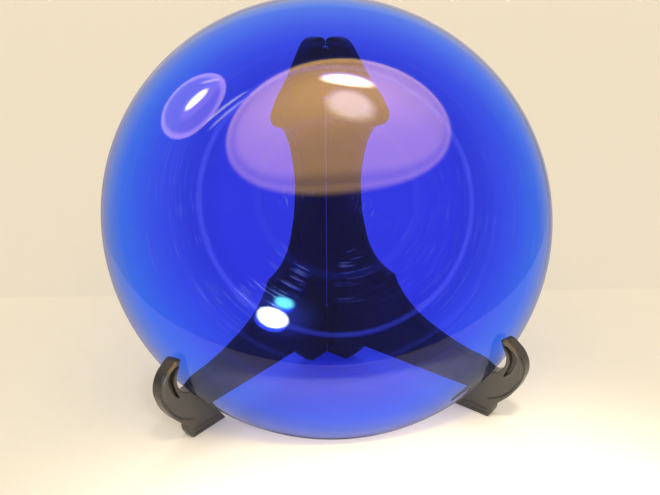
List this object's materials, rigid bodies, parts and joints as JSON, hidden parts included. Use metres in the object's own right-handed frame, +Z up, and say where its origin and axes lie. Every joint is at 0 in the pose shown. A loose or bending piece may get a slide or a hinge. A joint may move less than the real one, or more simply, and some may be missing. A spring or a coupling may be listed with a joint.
{
  "type": "display dish on folding easel",
  "caption": "Shallow domed blue glass dish standing on edge, hollow side back, in a folding black plastic plate easel with curled front hooks.",
  "frame": {"origin": "on the table, under the middle of the whole object's bounding box", "axes": "+Z up, -Y the way the dish faces, +X to the viewer's right"},
  "size_m": [0.26, 0.1334, 0.2293],
  "materials": {
    "cobalt_glass": "clear deep blue, polished",
    "black_plastic": "semi-gloss moulded",
    "pin_steel": "plain wire"
  },
  "bodies": {
    "left_leaf": {"left_leaf": "black_plastic", "lower_hinge_pin": "pin_steel", "upper_hinge_pin": "pin_steel"},
    "right_leaf": {"right_leaf": "black_plastic"},
    "glass_dish": {"glass_dish": "cobalt_glass"}
  },
  "joints": [
    {"name": "dish_lift", "type": "slide", "parent": "left_leaf", "child": "glass_dish", "axis": [0, 0.2079, 0.9781], "range_m": [0, 0.27]},
    {"name": "stand_fold", "type": "hinge", "parent": "left_leaf", "child": "right_leaf", "pos_m": [0, 0.04095, 0.1], "axis": [0, 0, 1], "range_deg": [-86, 0]}
  ],
  "couplings": [
    {"joint": "stand_fold", "follows": "dish_lift", "rad_per_m": -5.55}
  ]
}
